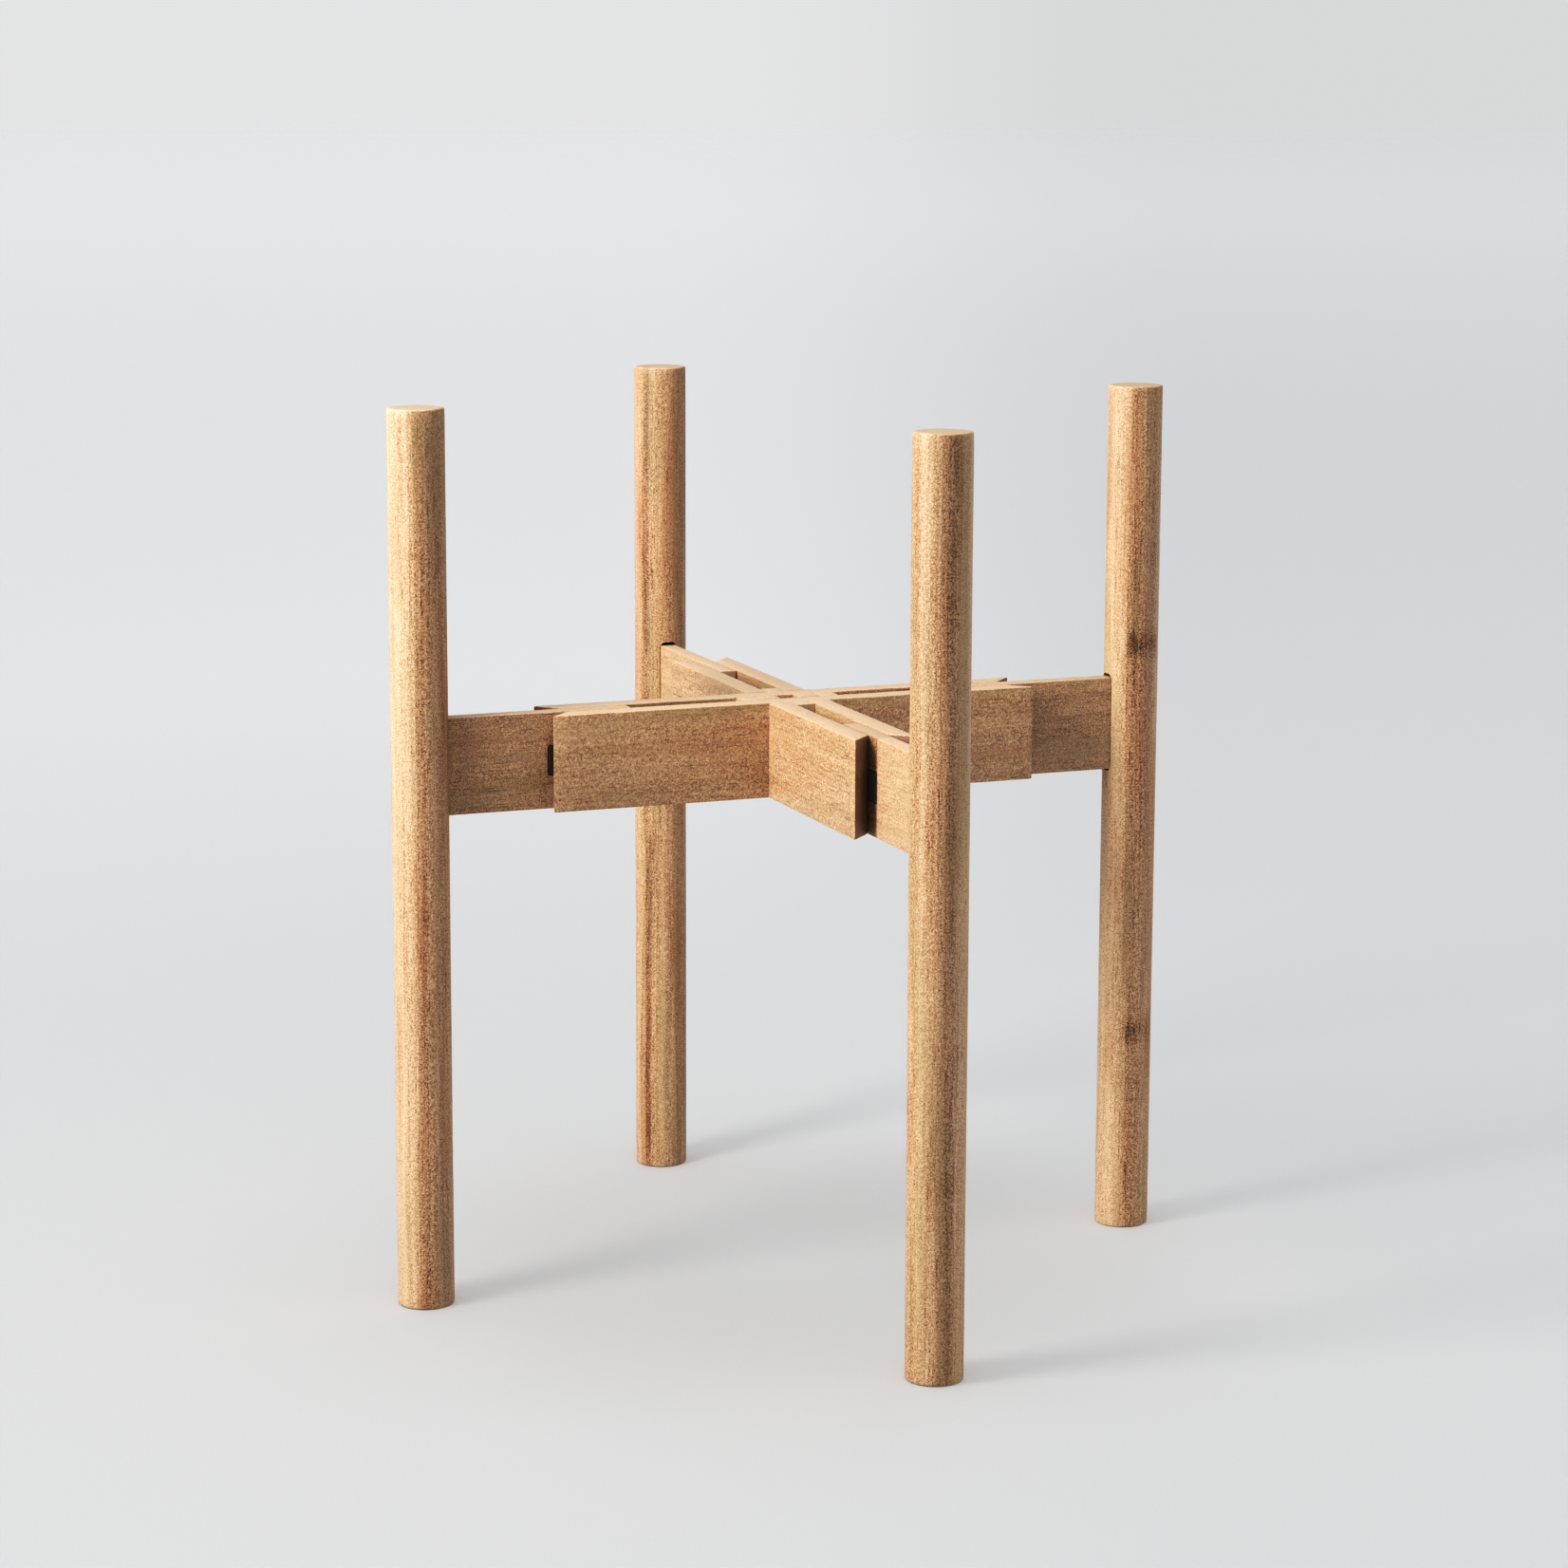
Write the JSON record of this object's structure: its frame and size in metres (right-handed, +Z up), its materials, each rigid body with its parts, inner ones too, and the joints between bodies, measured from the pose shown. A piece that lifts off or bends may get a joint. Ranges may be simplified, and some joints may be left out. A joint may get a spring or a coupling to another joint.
{
  "type": "adjustable plant pot stand",
  "caption": "Wooden plant pot stand: round legs on arms that slide in a cross-shaped slotted hub, so the space between the legs fits pots of different widths.",
  "frame": {"origin": "on the floor, below the centre of the hub", "axes": "+Z up; +X from the left leg to the right leg, along the beam whose plates lie on top at the crossing; +Y from the front leg to the rear leg"},
  "size_m": [0.351, 0.351, 0.38],
  "materials": {
    "leg_wood": "honey-brown long-grained hardwood dowel, satin clear coat",
    "beam_wood": "honey-brown hardwood strip, planed and lightly oiled",
    "dowel_wood": "plain pale dowel, unfinished",
    "felt": "dark brown pressed felt"
  },
  "bodies": {
    "hub": {"hub_plate_front": "beam_wood", "hub_plate_rear": "beam_wood", "hub_plate_left": "beam_wood", "hub_plate_right": "beam_wood", "spacer_left": "beam_wood", "spacer_right": "beam_wood", "spacer_front": "beam_wood", "spacer_rear": "beam_wood"},
    "left_leg_and_arm": {"leg_left": "leg_wood", "arm_left": "beam_wood", "stop_pin_left": "dowel_wood", "felt_strip_left_front": "felt", "felt_strip_left_rear": "felt"},
    "right_leg_and_arm": {"leg_right": "leg_wood", "arm_right": "beam_wood", "stop_pin_right": "dowel_wood", "felt_strip_right_rear": "felt", "felt_strip_right_front": "felt"},
    "front_leg_and_arm": {"leg_front": "leg_wood", "arm_front": "beam_wood", "stop_pin_front": "dowel_wood", "felt_strip_front_right": "felt", "felt_strip_front_left": "felt"},
    "rear_leg_and_arm": {"leg_rear": "leg_wood", "arm_rear": "beam_wood", "stop_pin_rear": "dowel_wood", "felt_strip_rear_left": "felt", "felt_strip_rear_right": "felt"}
  },
  "joints": [
    {"name": "left_slide", "type": "slide", "parent": "hub", "child": "left_leg_and_arm", "axis": [-1, 0, 0], "range_m": [-0.049, 0]},
    {"name": "right_slide", "type": "slide", "parent": "hub", "child": "right_leg_and_arm", "axis": [1, 0, 0], "range_m": [-0.049, 0]},
    {"name": "front_slide", "type": "slide", "parent": "hub", "child": "front_leg_and_arm", "axis": [0, -1, 0], "range_m": [-0.049, 0]},
    {"name": "rear_slide", "type": "slide", "parent": "hub", "child": "rear_leg_and_arm", "axis": [0, 1, 0], "range_m": [-0.049, 0]}
  ]
}
